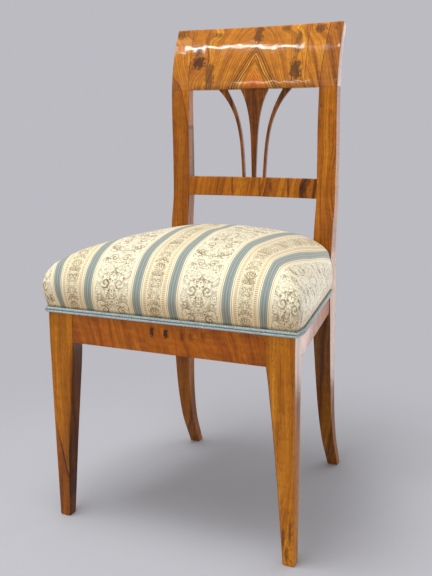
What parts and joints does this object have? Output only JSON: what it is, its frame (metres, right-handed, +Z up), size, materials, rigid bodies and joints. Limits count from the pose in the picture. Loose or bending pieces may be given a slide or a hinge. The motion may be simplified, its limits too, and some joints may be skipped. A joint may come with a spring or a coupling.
{
  "type": "lyre back chair",
  "caption": "Polished wooden side chair with a fan-shaped lyre back, a rolled crest rail, tapering front legs, swept rear legs and a sprung, domed, striped seat.",
  "frame": {"origin": "centre of the bounding box on the floor, between the four feet", "axes": "+X to the viewer's right when facing the chair's front, +Y to the back, +Z up"},
  "size_m": [0.482, 0.474, 0.9],
  "materials": {
    "walnut": "French-polished walnut",
    "figured_veneer": "French-polished figured walnut veneer",
    "red_veneer": "French-polished reddish walnut veneer",
    "dark_walnut": "polished dark walnut",
    "softwood": "planed, unfinished softwood",
    "webbing": "woven jute",
    "spring_steel": "bright drawn wire",
    "hessian": "open plain weave",
    "stuffing": "curled hair",
    "satin": "striped and figured satin weave",
    "braid": "double-cord braid"
  },
  "bodies": {
    "root": {"front_left_leg": "walnut", "front_right_leg": "walnut", "rear_left_post": "walnut", "rear_right_post": "walnut", "front_seat_rail": "softwood", "back_seat_rail": "walnut", "left_seat_rail": "softwood", "right_seat_rail": "softwood", "front_rail_veneer": "red_veneer", "left_rail_veneer": "red_veneer", "right_rail_veneer": "red_veneer", "front_left_brace": "softwood", "front_right_brace": "softwood", "back_left_brace": "softwood", "back_right_brace": "softwood", "crest_rail": "dark_walnut", "crest_veneer": "figured_veneer", "middle_back_rail": "dark_walnut", "middle_rail_veneer": "figured_veneer", "centre_splat": "dark_walnut", "left_slat": "dark_walnut", "right_slat": "dark_walnut", "long_strap_1": "webbing", "long_strap_2": "webbing", "long_strap_3": "webbing", "cross_strap_1": "webbing", "cross_strap_2": "webbing", "cross_strap_3": "webbing", "spring_1": "spring_steel", "spring_2": "spring_steel", "spring_3": "spring_steel", "spring_4": "spring_steel", "spring_5": "spring_steel", "hessian": "hessian", "seat_stuffing": "stuffing", "seat_cover": "satin", "front_gimp": "braid", "left_gimp": "braid", "right_gimp": "braid", "back_gimp": "braid"}
  },
  "joints": []
}
